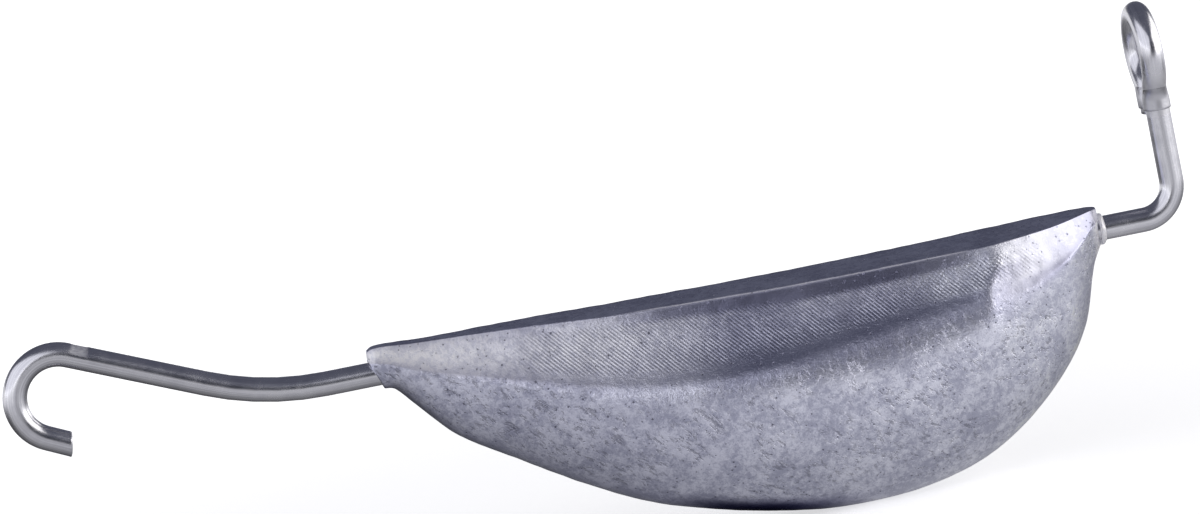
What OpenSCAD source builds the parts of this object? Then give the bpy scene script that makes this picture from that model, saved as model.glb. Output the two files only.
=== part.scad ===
// Fishing sinker: a keel-shaped lead casting on one stainless wire,
// with an open hook at the tail and a soldered eye at the nose.
// X runs from the hook to the eye, Z is up and Y is across. The origin is the middle of the line eye.

/* [Casting] */
// Length of the casting from its tail nib to its nose
cast_len = 45.7; // [38:0.1:60]
// Depth of the keel below the deck line
keel_depth = 15.1; // [12:0.1:20]
// Half of the casting's greatest width, along the lower edge of the scoops
body_half_w = 5.5; // [4:0.1:8]
// Half of the roof's greatest width
roof_half_w = 3.3; // [2.4:0.1:4.6]
// Drop of the roof from its ridge to its edges, where it is widest
roof_drop = 0.55; // [0.3:0.05:1.2]
// Depth of a scoop's lower edge below the ridge
scoop_depth = 5.4; // [4.2:0.1:7]
// How far a scoop is hollowed behind a flat flank
scoop_hollow_depth = 0.5; // [0.2:0.1:1.3]
// Rise of the deck line at the tail nib
deck_rise = 0.35; // [0.1:0.05:0.8]
// Outer diameter of the lead collar round the wire at the nose
collar_d = 1.8; // [1.7:0.05:2.3]
// Length of that collar
collar_len = 0.35; // [0.2:0.05:1.5]

/* [Wire] */
// Diameter of the wire
wire_d = 1.5; // [1.2:0.1:1.6]
// Depth of the wire's run below the deck line
wire_depth = 1.37; // [1.2:0.01:2]
// Straight run of the wire between the casting's tail and the rising arm
tail_run = 2.75; // [1.5:0.01:8]
// Angle at which the arm rises towards the hook
arm_rise = 23; // [0:1:40]
// Radius of the sweep into the rising arm
arm_sweep_r = 18.3; // [6:0.1:25]
// Straight length of the rising arm
arm_len = 8.57; // [4:0.01:20]
// Radius of the hook along the middle of the wire
hook_r = 2.58; // [2:0.01:5]
// Angle that the hook turns through
hook_turn = 177.4; // [150:0.1:190]
// Straight tip of the hook
hook_tip_len = 1.57; // [0.8:0.01:4]
// Straight run of the wire from the casting's nose to the stem's bend
nose_run = 2.72; // [1.5:0.01:8]
// Radius of the bend into the stem
stem_bend_r = 2.07; // [1.6:0.01:4]
// Angle at which the stem leans back over the casting
stem_lean = 1.2; // [0:0.1:4]

/* [Line eye] */
// Radius of the eye along the middle of the wire
eye_r = 2.35; // [2:0.05:4]
// Height of the eye's middle above the deck line
eye_height = 8.73; // [7:0.01:14]
// How far the eye's middle lies behind the stem
eye_offset = 0.98; // [0.6:0.01:1.2]
// Radius of the two bends where the strands part
parting_r = 1.6; // [1.2:0.05:2.5]
// Straight end of the wire behind the stem
tail_end_len = 0.6; // [0.4:0.05:2]
// Thickness of the solder skin on the strands
solder_skin = 0.08; // [0.05:0.01:0.2]
// Thickness of the solder web between the strands
solder_web = 1; // [0.6:0.1:1.2]
// Height of the solder from its lower edge to the eye's crotch
solder_len = 1.85; // [1.2:0.05:2.4]

/* [Anchor kink, hidden in the lead] */
// Angle of the kink that keeps the wire from turning or pulling out
kink_angle = 30; // [15:5:40]
// Straight sides of the kink
kink_side = 2.4; // [1.6:0.1:4]
// Radius of the kink's bends
kink_r = 2; // [1.6:0.1:3]

/* [Hidden] */
$fn = 48;

// Gap that the lead leaves round the wire as it shrinks, and the solder's wetting gap
shrink_gap = 0.02;
wetting_gap = 0.01;
// Gap between the stem and the wire's end behind it
lap_gap = 0.05;
// A bent wire draws thinner by this much
bend_thinning_w = 0.02;
// Reach of each straight into its bends, and the shortest straight between two bends
straight_lap_len = 0.1;
bend_joint_len = 0.3;
// Half-width and depth of the lead that closes round the wire at the tail and at the nose
nib_half_w = 1;
nib_depth = 2.3;
nose_half_w = 1.05;
nose_depth = 2.35;
// The tail is cut off at a slant below the beak, and the beak's depth above that cut
tail_slant = 22;
beak_depth = 0.5;

// Positions along the casting are shares of its length, counted from the tail
stations = 48;
end_crowding = 0.8;
scoop_steps = 6;
crest_steps = 3;
belly_steps = 8;

// Deck line: shares of its rise at the nib, a shallow hollow between the two ends
deck_shares = [[0, 0.35], [0.006, 0.85], [0.02, 1], [0.06, 0.68], [0.21, 0.44], [0.375, 0], [0.57, -0.32],
    [0.775, -0.14], [0.89, 0.2], [0.985, 0.3], [1, 0.05]];
// Keel line: shares of the keel's depth
keel_shares = [[0, 0], [0.015, 0.005], [0.03, 0.017], [0.05, 0.096], [0.1, 0.289], [0.17, 0.45],
    [0.25, 0.63], [0.35, 0.807], [0.45, 0.911], [0.55, 0.983], [0.62, 1], [0.7, 0.985], [0.79, 0.903],
    [0.86, 0.758], [0.92, 0.562], [0.96, 0.365], [0.985, 0.1], [1, 0]];
// Edge of the roof: shares of its half-width
roof_shares = [[0, 0], [0.1, 0.12], [0.2, 0.35], [0.32, 0.64], [0.45, 0.78], [0.6, 0.92], [0.75, 0.98],
    [0.825, 1], [0.85, 0.965], [0.93, 0.67], [0.968, 0.37], [1, 0]];
// Lower edge of a scoop: shares of its depth and of the casting's half-width
edge_depth_shares = [[0, 0], [0.023, 0.04], [0.04, 0.105], [0.087, 0.27], [0.153, 0.45], [0.22, 0.63],
    [0.3, 0.845], [0.38, 0.97], [0.46, 1], [0.56, 0.967], [0.7, 0.855], [0.8, 0.8], [0.88, 0.71],
    [0.935, 0.52], [0.973, 0.295], [1, 0]];
edge_width_shares = [[0, 0], [0.03, 0.05], [0.08, 0.12], [0.15, 0.28], [0.25, 0.54], [0.35, 0.77],
    [0.45, 0.92], [0.55, 1], [0.65, 1], [0.75, 0.98], [0.82, 0.95], [0.85, 0.88], [0.92, 0.6], [0.97, 0.34],
    [1, 0]];
// Hollow of a scoop: shares of its greatest hollow
hollow_shares = [[0, 0.1], [0.1, 0.2], [0.25, 0.55], [0.4, 0.85], [0.55, 1], [0.68, 1], [0.76, 0.9],
    [0.82, 0.6], [0.85, 0.16], [0.9, 0.1], [1, 0.1]];
// Rounding of the crest between a scoop and the belly: shares of the scoop's height
crest_shares = [[0, 0.04], [0.2, 0.1], [0.4, 0.3], [0.6, 0.35], [0.75, 0.3], [0.85, 0.12], [1, 0.04]];

// A smooth curve through a table of shares, with the slopes taken from each point's neighbours
function slope_at(table, i) = let (n = len(table) - 1, a = max(i - 1, 0), b = min(i + 1, n))
    (table[b][1] - table[a][1]) / (table[b][0] - table[a][0]);
function piece_of(table, t, i = 0) = (i >= len(table) - 2 || t <= table[i + 1][0]) ? i
    : piece_of(table, t, i + 1);
function smooth(table, t) = let (i = piece_of(table, t), p = table[i], q = table[i + 1], w = q[0] - p[0],
    u = (t - p[0]) / w)
    p[1] * (2 * u ^ 3 - 3 * u ^ 2 + 1) + q[1] * (3 * u ^ 2 - 2 * u ^ 3)
    + w * (slope_at(table, i) * (u ^ 3 - 2 * u ^ 2 + u) + slope_at(table, i + 1) * (u ^ 3 - u ^ 2));

// The lead never gets smaller than its end faces: nib at the tail, block round the wire at the nose
function end_share(t) = t ^ 8;
function floor_w(t) = nib_half_w + (nose_half_w - nib_half_w) * end_share(t);
function floor_d(t) = nib_depth + (nose_depth - nib_depth) * end_share(t);
function deck_z(t) = deck_rise * smooth(deck_shares, t);
function edge_w(t) = max(0, smooth(edge_width_shares, t)) * (body_half_w - floor_w(t)) + floor_w(t);
function roof_w(t) = max(0, smooth(roof_shares, t)) * (roof_half_w - floor_w(t) / 2) + floor_w(t) / 2;
function roof_z(t) = deck_z(t) - roof_drop * roof_w(t) / roof_half_w;
function edge_z(t) = min(roof_z(t) - floor_d(t) / 4,
    -max(0, smooth(edge_depth_shares, t)) * (scoop_depth - floor_d(t) / 4) - floor_d(t) / 4);
function keel_z(t) = -max(0, smooth(keel_shares, t)) * (keel_depth - floor_d(t)) - floor_d(t);

// Half of the section at one station, from the ridge round the flank to the keel. The crest between the scoop
// and the belly is sharp at both ends of the casting and rounded between them.
function section(t) = let (rw = roof_w(t), rz = roof_z(t), ew = edge_w(t), ez = edge_z(t), kz = keel_z(t),
    h = scoop_hollow_depth * max(0, smooth(hollow_shares, t)), flank = norm([ew - rw, rz - ez]),
    soft = max(0, smooth(crest_shares, t)), scoop_end = 1 - soft, belly_start = 90 * soft / 2,
    scoop = function (u) let (b = 4 * h * u * (1 - u))
        [rw + (ew - rw) * u - b * (rz - ez) / flank, rz + (ez - rz) * u - b * (ew - rw) / flank],
    belly = function (a) [ew * cos(a), ez + (kz - ez) * sin(a)])
    concat(
        [[0, deck_z(t)], [rw, rz]],
        [for (i = [1 : scoop_steps]) scoop(scoop_end * i / scoop_steps)],
        [for (i = [1 : crest_steps]) let (u = i / crest_steps)
            scoop(scoop_end) * (1 - u) ^ 2 + [ew, ez] * 2 * u * (1 - u) + belly(belly_start) * u ^ 2],
        [for (i = [1 : belly_steps]) belly(belly_start + (90 - belly_start) * i / belly_steps)]);
function ring_at(t) = let (half = section(t), n = len(half) - 1)
    concat([for (p = half) [t * cast_len, p[0], p[1]]],
        [for (i = [n - 1 : -1 : 1]) [t * cast_len, -half[i][0], half[i][1]]]);

// Stations stand closer together towards both ends
function station_share(u) = u - end_crowding * sin(360 * u) / (2 * PI);

module lead_form() {
    rings = [for (s = [0 : stations]) ring_at(station_share(s / stations))];
    n = len(rings[0]);
    points = [for (r = rings) each r];
    sides = [for (s = [0 : stations - 1], i = [0 : n - 1]) let (a = s * n + i, b = s * n + (i + 1) % n)
        each [[a, b, a + n], [b, b + n, a + n]]];
    ends = [[for (i = [n - 1 : -1 : 0]) i], [for (i = [0 : n - 1]) stations * n + i]];
    polyhedron(points, concat(sides, ends), convexity = 6);
}

// One bend of the wire, from the origin along X and turning towards Z
module bend(angle, r, d) {
    mirror([0, 0, angle < 0 ? 1 : 0]) translate([0, 0, r]) rotate([90, 0, 0]) rotate([0, 0, -90])
        rotate_extrude(angle = abs(angle)) translate([r, 0]) circle(d = d - bend_thinning_w);
}
function bend_end(angle, r) = [r * sin(abs(angle)), 0, sign(angle) * r * (1 - cos(angle))];

// Follows a bending chart whose rows are: roll, straight, angle of bend, radius of bend
module formed_wire(chart, d, row = 0) {
    if (row < len(chart)) {
        straight = chart[row][1];
        angle = chart[row][2];
        r = chart[row][3];
        rotate([chart[row][0], 0, 0]) {
            lap_in = row == 0 ? 0 : straight_lap_len;
            lap_out = angle == 0 ? 0 : straight_lap_len;
            translate([-lap_in, 0, 0]) rotate([0, 90, 0]) cylinder(d = d, h = lap_in + straight + lap_out);
            if (angle != 0) translate([straight, 0, 0]) {
                bend(angle, r, d);
                translate(bend_end(angle, r)) rotate([0, -angle, 0]) formed_wire(chart, d, row + 1);
            }
        }
    }
}

// The eye: each strand leaves the stem by a parting bend and runs into the ring. The stem leans back,
// so the eye's middle lies behind the bend by its reach along the stem times the sine of the lean.
lap_pitch = wire_d + lap_gap;
function parting_angle(offset) = acos(offset / norm([eye_r + parting_r, bend_joint_len]))
    - atan2(bend_joint_len, eye_r + parting_r);
function parting_rise(angle) = (eye_r + parting_r) * sin(angle) + bend_joint_len * cos(angle);
front_parting = parting_angle(eye_offset + parting_r);
back_parting = parting_angle(lap_pitch - eye_offset + parting_r);
stem_reach = (eye_height + wire_depth - stem_bend_r * (1 + sin(stem_lean))) / cos(stem_lean);
stem_len = stem_reach - parting_rise(front_parting);
kink_x = cast_len / 2;
eye_x = cast_len + nose_run + stem_bend_r * cos(stem_lean) - stem_reach * sin(stem_lean);
kink_len = 4 * kink_r * sin(kink_angle) + 2 * kink_side * cos(kink_angle);

nose_chart = [
    [0, kink_x - kink_len / 2, -kink_angle, kink_r],
    [0, kink_side, 2 * kink_angle, kink_r],
    [0, kink_side, -kink_angle, kink_r],
    [0, cast_len + nose_run - kink_x - kink_len / 2, 90 + stem_lean, stem_bend_r],
    [90, stem_len, front_parting, parting_r],
    [0, bend_joint_len, -(180 + front_parting + back_parting), eye_r],
    [0, bend_joint_len, back_parting, parting_r],
    [0, tail_end_len, 0, 0]];
tail_chart = [
    [0, tail_run, arm_rise, arm_sweep_r],
    [0, arm_len, -hook_turn, hook_r],
    [0, hook_tip_len, 0, 0]];

module whole_wire(d) {
    translate([0, 0, -wire_depth]) {
        formed_wire(nose_chart, d);
        mirror([1, 0, 0]) formed_wire(tail_chart, d);
    }
}

// Everything above is drawn from the casting's tail, and is moved here so that the eye's middle is the origin
module from_eye() {
    translate([-eye_x, -eye_offset, -eye_height]) children();
}

module cast_body() {
    color("#71757d") from_eye() difference() {
        union() {
            lead_form();
            translate([cast_len - collar_len, 0, -wire_depth]) rotate([0, 90, 0])
                cylinder(d1 = nose_depth, d2 = collar_d, h = 2 * collar_len);
        }
        whole_wire(wire_d + 2 * shrink_gap);
        translate([0, 0, -beak_depth]) rotate([0, -tail_slant, 0])
            translate([-keel_depth, -body_half_w, -keel_depth])
                cube([keel_depth, 2 * body_half_w, keel_depth]);
    }
}

module through_wire() {
    color("#a7aab2") from_eye() whole_wire(wire_d);
}

// Solder closes the eye: a skin on both strands and a web between them, hollowed at the eye's crotch
module eye_solder() {
    crotch_z = eye_height - eye_r + wire_d / 2;
    bottom_z = crotch_z - solder_len;
    color("#8d8f94") from_eye() difference() {
        intersection() {
            union() {
                whole_wire(wire_d + 2 * solder_skin);
                translate([eye_x - solder_web / 2, 0, bottom_z]) cube([solder_web, lap_pitch, solder_len]);
            }
            translate([eye_x - wire_d, -eye_r, bottom_z])
                cube([2 * wire_d, 2 * eye_r + lap_pitch, solder_len]);
        }
        whole_wire(wire_d + 2 * wetting_gap);
    }
}

cast_body();
through_wire();
eye_solder();
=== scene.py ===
import bpy
import bmesh
import math
from mathutils import Matrix, Vector, noise


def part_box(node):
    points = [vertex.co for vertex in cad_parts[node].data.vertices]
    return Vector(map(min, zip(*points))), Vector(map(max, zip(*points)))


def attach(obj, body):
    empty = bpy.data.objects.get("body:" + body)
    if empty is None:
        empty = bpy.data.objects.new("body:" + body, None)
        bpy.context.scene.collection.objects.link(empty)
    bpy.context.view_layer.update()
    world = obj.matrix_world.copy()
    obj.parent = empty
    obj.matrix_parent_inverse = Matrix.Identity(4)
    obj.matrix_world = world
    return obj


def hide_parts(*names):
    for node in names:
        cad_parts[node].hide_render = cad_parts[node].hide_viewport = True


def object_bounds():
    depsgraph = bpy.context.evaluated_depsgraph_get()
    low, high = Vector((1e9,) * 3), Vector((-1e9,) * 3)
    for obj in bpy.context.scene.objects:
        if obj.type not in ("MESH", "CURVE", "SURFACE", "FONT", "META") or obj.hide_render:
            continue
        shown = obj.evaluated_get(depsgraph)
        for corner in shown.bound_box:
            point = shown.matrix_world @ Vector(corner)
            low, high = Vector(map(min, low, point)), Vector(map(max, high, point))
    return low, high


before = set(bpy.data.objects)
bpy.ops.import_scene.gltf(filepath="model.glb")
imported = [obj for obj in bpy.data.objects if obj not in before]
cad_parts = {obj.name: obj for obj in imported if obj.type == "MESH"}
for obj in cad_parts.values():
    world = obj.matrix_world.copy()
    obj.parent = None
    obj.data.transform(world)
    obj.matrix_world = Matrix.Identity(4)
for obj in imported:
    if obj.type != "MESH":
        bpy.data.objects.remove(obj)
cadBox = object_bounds()
mm = 0.001  # the pieces are drawn in millimetres and brought into the frame at the end
print("frame loaded")


# Helpers for every piece

def along(shares, t):
    # smooth curve through a table of shares, sloped by each point's neighbours
    last = len(shares) - 1
    i = 0
    while i < last - 1 and t > shares[i + 1][0]:
        i += 1
    here, there = shares[i], shares[i + 1]
    before, after = shares[max(i - 1, 0)], shares[min(i + 2, last)]
    slopeHere = (there[1] - before[1]) / (there[0] - before[0])
    slopeThere = (after[1] - here[1]) / (after[0] - here[0])
    width = there[0] - here[0]
    u = (t - here[0]) / width
    level = here[1] * (2 * u ** 3 - 3 * u ** 2 + 1) + there[1] * (3 * u ** 2 - 2 * u ** 3)
    return level + width * (slopeHere * (u ** 3 - 2 * u ** 2 + u) + slopeThere * (u ** 3 - u ** 2))


def ease(low, high, x):
    # 0 below low, 1 above high, smooth between
    u = min(max((x - low) / (high - low), 0), 1)
    return u * u * (3 - 2 * u)


def within(span, x):
    # 1 between the span's two inner values, 0 beyond its outer ones, smooth from one to the other
    return ease(span[0], span[1], x) * (1 - ease(span[2], span[3], x))


def wander(place, size, seed=0):
    # soft noise from -1 to 1 with features of about that size
    return noise.noise(Vector(place) / size + Vector((seed * 7.3, seed * 3.1, seed * 5.7)))


def finishPiece(bm, name, place, nodeName, material):
    # doubles merged, normals outwards, then the piece takes its CAD node's place
    bmesh.ops.remove_doubles(bm, verts=bm.verts, dist=0.0005)
    bmesh.ops.transform(bm, matrix=place, verts=bm.verts)
    bmesh.ops.recalc_face_normals(bm, faces=bm.faces)
    mesh = bpy.data.meshes.new(name)
    bm.to_mesh(mesh)
    bm.free()
    mesh.shade_smooth()
    mesh.materials.append(material)
    piece = bpy.data.objects.new(name, mesh)
    bpy.context.scene.collection.objects.link(piece)
    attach(piece, "root")
    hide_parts(nodeName)
    print(name, len(mesh.polygons), "faces")
    return piece


# Node helpers

def newMaterial(name):
    material = bpy.data.materials.new(name)
    material.use_nodes = True
    return material, material.node_tree, material.node_tree.nodes["Principled BSDF"]


def addNode(tree, kind, sockets=None, **settings):
    node = tree.nodes.new(kind)
    for key, value in settings.items():
        setattr(node, key, value)
    for key, value in (sockets or {}).items():
        if isinstance(value, bpy.types.NodeSocket):
            tree.links.new(value, node.inputs[key])
        else:
            node.inputs[key].default_value = value
    return node


def noiseFac(tree, vector, scale, detail=4, roughness=0.55, distortion=0):
    sockets = {"Vector": vector, "Scale": scale, "Detail": detail, "Roughness": roughness,
               "Distortion": distortion}
    return addNode(tree, "ShaderNodeTexNoise", sockets).outputs["Fac"]


def remap(tree, value, fromLow, fromHigh, toLow=0, toHigh=1):
    sockets = {"Value": value, "From Min": fromLow, "From Max": fromHigh,
               "To Min": toLow, "To Max": toHigh}
    node = addNode(tree, "ShaderNodeMapRange", sockets, interpolation_type="SMOOTHSTEP")
    return node.outputs["Result"]


def doMath(tree, operation, a, b=0.0):
    return addNode(tree, "ShaderNodeMath", {0: a, 1: b}, operation=operation).outputs[0]


def times(tree, a, b):
    return doMath(tree, "MULTIPLY", a, b)


def mixColor(tree, factor, a, b, blend="MIX"):
    node = addNode(tree, "ShaderNodeMix", data_type="RGBA", blend_type=blend)
    for key, value in {0: factor, 6: a, 7: b}.items():
        if isinstance(value, bpy.types.NodeSocket):
            tree.links.new(value, node.inputs[key])
        else:
            node.inputs[key].default_value = value
    return node.outputs[2]


def bump(tree, height, distance, strength=1.0, normal=None):
    sockets = {"Height": height, "Distance": distance, "Strength": strength}
    if normal:
        sockets["Normal"] = normal
    return addNode(tree, "ShaderNodeBump", sockets).outputs["Normal"]


# Lead: bluish grey, satin, clouded and pitted, with the cutter's hatch left by the mould in the scoops,
# and painted light and shade from the casting's per-vertex values

lead = {
    "dull": (0.41, 0.42, 0.54, 1),
    "bright": (0.72, 0.73, 0.855, 1),
    "pit": (0.09, 0.09, 0.125, 1),
    # pale bloom colour, laid on partly as painted light
    "bloomAndPaintedLight": (0.77, 0.76, 0.81, 1),
    "roughness": (0.29, 0.4),
    "mottleScale": 2600,
    "cloudScale": 520,
    "pitScale": 3000,
    "streakScale": 3200,
    "streakStretch": 0.42,
    "crowdScale": 330,
    "hatchPitch": 0.19,
    "hatchTurn": 42,
    "crossingShare": 1.3,  # pitch of the crossing hatch, as a share of the first
    "keptScale": 700,
    "toneMix": {"mottle": 0.6, "cloud": 0.45, "fine": 0.25},
    "toneSpan": (0.515, 0.795),
    "hatchMix": {"first": 0.6, "crossing": 0.4},
    "pitMark": 0.75,
    "scoredMark": 0.42,
    "grooveMark": 0.5,
    "calmMarks": 0.2,
    # calm lifts the tone towards bright, which on the nose facet is painted light
    "calmLiftAndPaintedLight": 0.85,
    "mottleDepth": 0.03,
    "pitDepth": 0.04,
    "streakDepth": 0.03,
    "hatchDepth": 0.016,
}


def hatchBands(tree, turned, direction, pitch):
    # the bands texture counts 20 radians to a unit of its scale
    scale = 2 * math.pi / (20 * pitch * mm)
    sockets = {"Vector": turned, "Scale": scale, "Distortion": 1.4, "Detail": 1.0, "Detail Scale": 0.3}
    wave = addNode(tree, "ShaderNodeTexWave", sockets, wave_type="BANDS", bands_direction=direction)
    return wave.outputs["Fac"]


def makeLead():
    material, tree, shader = newMaterial("lead")
    place = addNode(tree, "ShaderNodeTexCoord").outputs["Object"]
    masks = addNode(tree, "ShaderNodeAttribute", attribute_name="flank").outputs["Vector"]
    hatchHere, wovenHere, bellyHere = addNode(tree, "ShaderNodeSeparateXYZ", {"Vector": masks}).outputs
    # per-vertex vector: tone with painted light and shade, pale bloom that is partly painted light, and
    # calm
    wearAndPaintedShading = addNode(tree, "ShaderNodeAttribute", attribute_name="wearAndPaintedShading").outputs["Vector"]
    shadeHere, bloomAndPaintedLightHere, calmHere = addNode(tree, "ShaderNodeSeparateXYZ", {"Vector": wearAndPaintedShading}).outputs
    turn = {"Vector": place, "Rotation": (0, math.radians(lead["hatchTurn"]), 0)}
    turned = addNode(tree, "ShaderNodeMapping", turn).outputs[0]
    mottle = noiseFac(tree, place, lead["mottleScale"], 5, 0.66, 0.4)
    cloud = noiseFac(tree, place, lead["cloudScale"], 3, 0.5)
    fine = noiseFac(tree, place, lead["mottleScale"] * 4, 2, 0.5)
    stretch = {"Vector": turned, "Scale": (1, 1, lead["streakStretch"])}
    drawn = addNode(tree, "ShaderNodeMapping", stretch).outputs[0]
    streak = noiseFac(tree, drawn, lead["streakScale"], 4, 0.7, 0.3)
    crowded = remap(tree, noiseFac(tree, place, lead["crowdScale"], 3, 0.6), 0.40, 0.56)
    cellSockets = {"Vector": place, "Scale": lead["pitScale"], "Randomness": 1.0}
    cells = addNode(tree, "ShaderNodeTexVoronoi", cellSockets)
    pitField = doMath(tree, "ADD", cells.outputs["Distance"], times(tree, mottle, 0.9))
    pits = remap(tree, pitField, 0.60, 0.46)
    scored = times(tree, remap(tree, streak, 0.48, 0.36), times(tree, crowded, bellyHere))
    marks = doMath(tree, "MAXIMUM", times(tree, pits, lead["pitMark"]),
                   times(tree, scored, lead["scoredMark"]))
    lively = remap(tree, calmHere, 0, 1, 1, lead["calmMarks"])
    marks = times(tree, marks, lively)
    mix = lead["toneMix"]
    tone = doMath(tree, "ADD", times(tree, mottle, mix["mottle"]), times(tree, cloud, mix["cloud"]))
    tone = doMath(tree, "ADD", tone, times(tree, fine, mix["fine"]))
    tone = remap(tree, tone, *lead["toneSpan"])
    # calm evens the tone and lifts it towards bright; on the nose facet that lift is painted light
    tone = doMath(tree, "MAXIMUM", tone, times(tree, calmHere, lead["calmLiftAndPaintedLight"]))
    ridges = hatchBands(tree, turned, "X", lead["hatchPitch"])
    crossing = hatchBands(tree, turned, "Z", lead["hatchPitch"] * lead["crossingShare"])
    mix = lead["hatchMix"]
    woven = doMath(tree, "ADD", times(tree, ridges, mix["first"]), times(tree, crossing, mix["crossing"]))
    weave = addNode(tree, "ShaderNodeMix", data_type="FLOAT")
    for key, value in {0: wovenHere, 2: ridges, 3: woven}.items():
        tree.links.new(value, weave.inputs[key])
    kept = remap(tree, noiseFac(tree, place, lead["keptScale"], 3), 0.36, 0.56, 0.45, 1)
    cut = times(tree, hatchHere, kept)
    grooves = times(tree, doMath(tree, "SUBTRACT", 1.0, weave.outputs[0]), cut)
    color = mixColor(tree, tone, lead["dull"], lead["bright"])
    # pale bloom, laid on partly as painted light
    powderAndPaintedLight = times(tree, bloomAndPaintedLightHere, remap(tree, mottle, 0.42, 0.58, 0.55, 1))
    color = mixColor(tree, powderAndPaintedLight, color, lead["bloomAndPaintedLight"])
    color = mixColor(tree, times(tree, grooves, lead["grooveMark"]), color, lead["pit"])
    color = mixColor(tree, marks, color, lead["pit"])
    # painted light and shade: the colour is multiplied by the first share, and turns bluer where that
    # darkens it
    bluer = doMath(tree, "POWER", shadeHere, 0.8)
    shade = addNode(tree, "ShaderNodeCombineXYZ", {0: shadeHere, 1: shadeHere, 2: bluer}).outputs[0]
    color = mixColor(tree, 1.0, color, shade, "MULTIPLY")
    tree.links.new(color, shader.inputs["Base Color"])
    # the painted shade also dims the metal's grazing reflection
    rim = doMath(tree, "MINIMUM", shadeHere, 1.0)
    paintedRimShade = addNode(tree, "ShaderNodeCombineXYZ", {0: rim, 1: rim, 2: rim}).outputs[0]
    tree.links.new(paintedRimShade, shader.inputs["Specular Tint"])
    tree.links.new(remap(tree, bloomAndPaintedLightHere, 0, 1, 1, 0.25), shader.inputs["Metallic"])
    smoothest, roughest = lead["roughness"]
    rough = remap(tree, doMath(tree, "ADD", tone, fine), 0.4, 1.5, roughest, smoothest)
    tree.links.new(rough, shader.inputs["Roughness"])
    grain = doMath(tree, "ADD", mottle, times(tree, fine, 0.4))
    normal = bump(tree, times(tree, grain, lively), lead["mottleDepth"] * mm)
    normal = bump(tree, doMath(tree, "SUBTRACT", 1.0, scored), lead["streakDepth"] * mm, 0.8, normal)
    normal = bump(tree, doMath(tree, "SUBTRACT", 1.0, pits), lead["pitDepth"] * mm, 0.7, normal)
    normal = bump(tree, doMath(tree, "SUBTRACT", 1.0, grooves), lead["hatchDepth"] * mm, 1.0, normal)
    tree.links.new(normal, shader.inputs["Normal"])
    return material


# Stainless wire: drawn lines run along the wire, through every bend

drawnWire = {
    "base": (0.69, 0.69, 0.735, 1),
    "streak": (0.55, 0.55, 0.6, 1),
    "scuff": (0.66, 0.66, 0.70, 1),
    "roughness": (0.21, 0.28),
    "lineScale": 9000,
    "lineStretch": 0.012,
    "lineDepth": 0.004,
    "smudgeScale": 700,
    "scuffScale": 5200,
    "toneMix": {"lines": 0.6, "smudge": 0.4},
}


def makeWire():
    material, tree, shader = newMaterial("drawn_wire")
    way = addNode(tree, "ShaderNodeAttribute", attribute_name="straightWire").outputs["Vector"]
    stretch = {"Vector": way, "Scale": (drawnWire["lineStretch"], 1, 1)}
    stretched = addNode(tree, "ShaderNodeMapping", stretch).outputs[0]
    lines = noiseFac(tree, stretched, drawnWire["lineScale"], 3, 0.6)
    place = addNode(tree, "ShaderNodeTexCoord").outputs["Object"]
    smudge = noiseFac(tree, place, drawnWire["smudgeScale"], 4, 0.6)
    mix = drawnWire["toneMix"]
    tone = doMath(tree, "ADD", times(tree, lines, mix["lines"]), times(tree, smudge, mix["smudge"]))
    tone = remap(tree, tone, 0.36, 0.6)
    color = mixColor(tree, tone, drawnWire["streak"], drawnWire["base"])
    scuffed = addNode(tree, "ShaderNodeAttribute", attribute_name="scuff").outputs["Fac"]
    patchy = remap(tree, noiseFac(tree, place, drawnWire["scuffScale"], 3), 0.36, 0.58, 0.5, 1)
    localLook = times(tree, scuffed, patchy)
    color = mixColor(tree, localLook, color, drawnWire["scuff"])
    tree.links.new(color, shader.inputs["Base Color"])
    tree.links.new(remap(tree, localLook, 0, 1, 1, 0.5), shader.inputs["Metallic"])
    rough = remap(tree, smudge, 0.3, 0.7, *drawnWire["roughness"])
    rough = doMath(tree, "ADD", rough, times(tree, localLook, 0.15))
    tree.links.new(rough, shader.inputs["Roughness"])
    tree.links.new(bump(tree, lines, drawnWire["lineDepth"] * mm), shader.inputs["Normal"])
    return material


# Solder: smooth, dull and pale, with a few dark flux smudges

solder = {
    "pale": (0.52, 0.52, 0.56, 1),
    "flux": (0.10, 0.09, 0.10, 1),
    "roughness": (0.28, 0.45),
    "cloudScale": 1300,
    "spotScale": 900,
    "cloudDepth": 0.02,
}


def makeSolder():
    material, tree, shader = newMaterial("solder")
    place = addNode(tree, "ShaderNodeTexCoord").outputs["Object"]
    cloud = noiseFac(tree, place, solder["cloudScale"], 3, 0.5)
    spots = remap(tree, noiseFac(tree, place, solder["spotScale"], 4, 0.7, 0.5), 0.56, 0.68)
    color = mixColor(tree, spots, solder["pale"], solder["flux"])
    tree.links.new(color, shader.inputs["Base Color"])
    shader.inputs["Metallic"].default_value = 1.0
    tree.links.new(remap(tree, cloud, 0.3, 0.7, *solder["roughness"]), shader.inputs["Roughness"])
    tree.links.new(bump(tree, cloud, solder["cloudDepth"] * mm), shader.inputs["Normal"])
    return material


# The casting: one flank is a grid laid over the section curves, then mirrored

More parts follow.
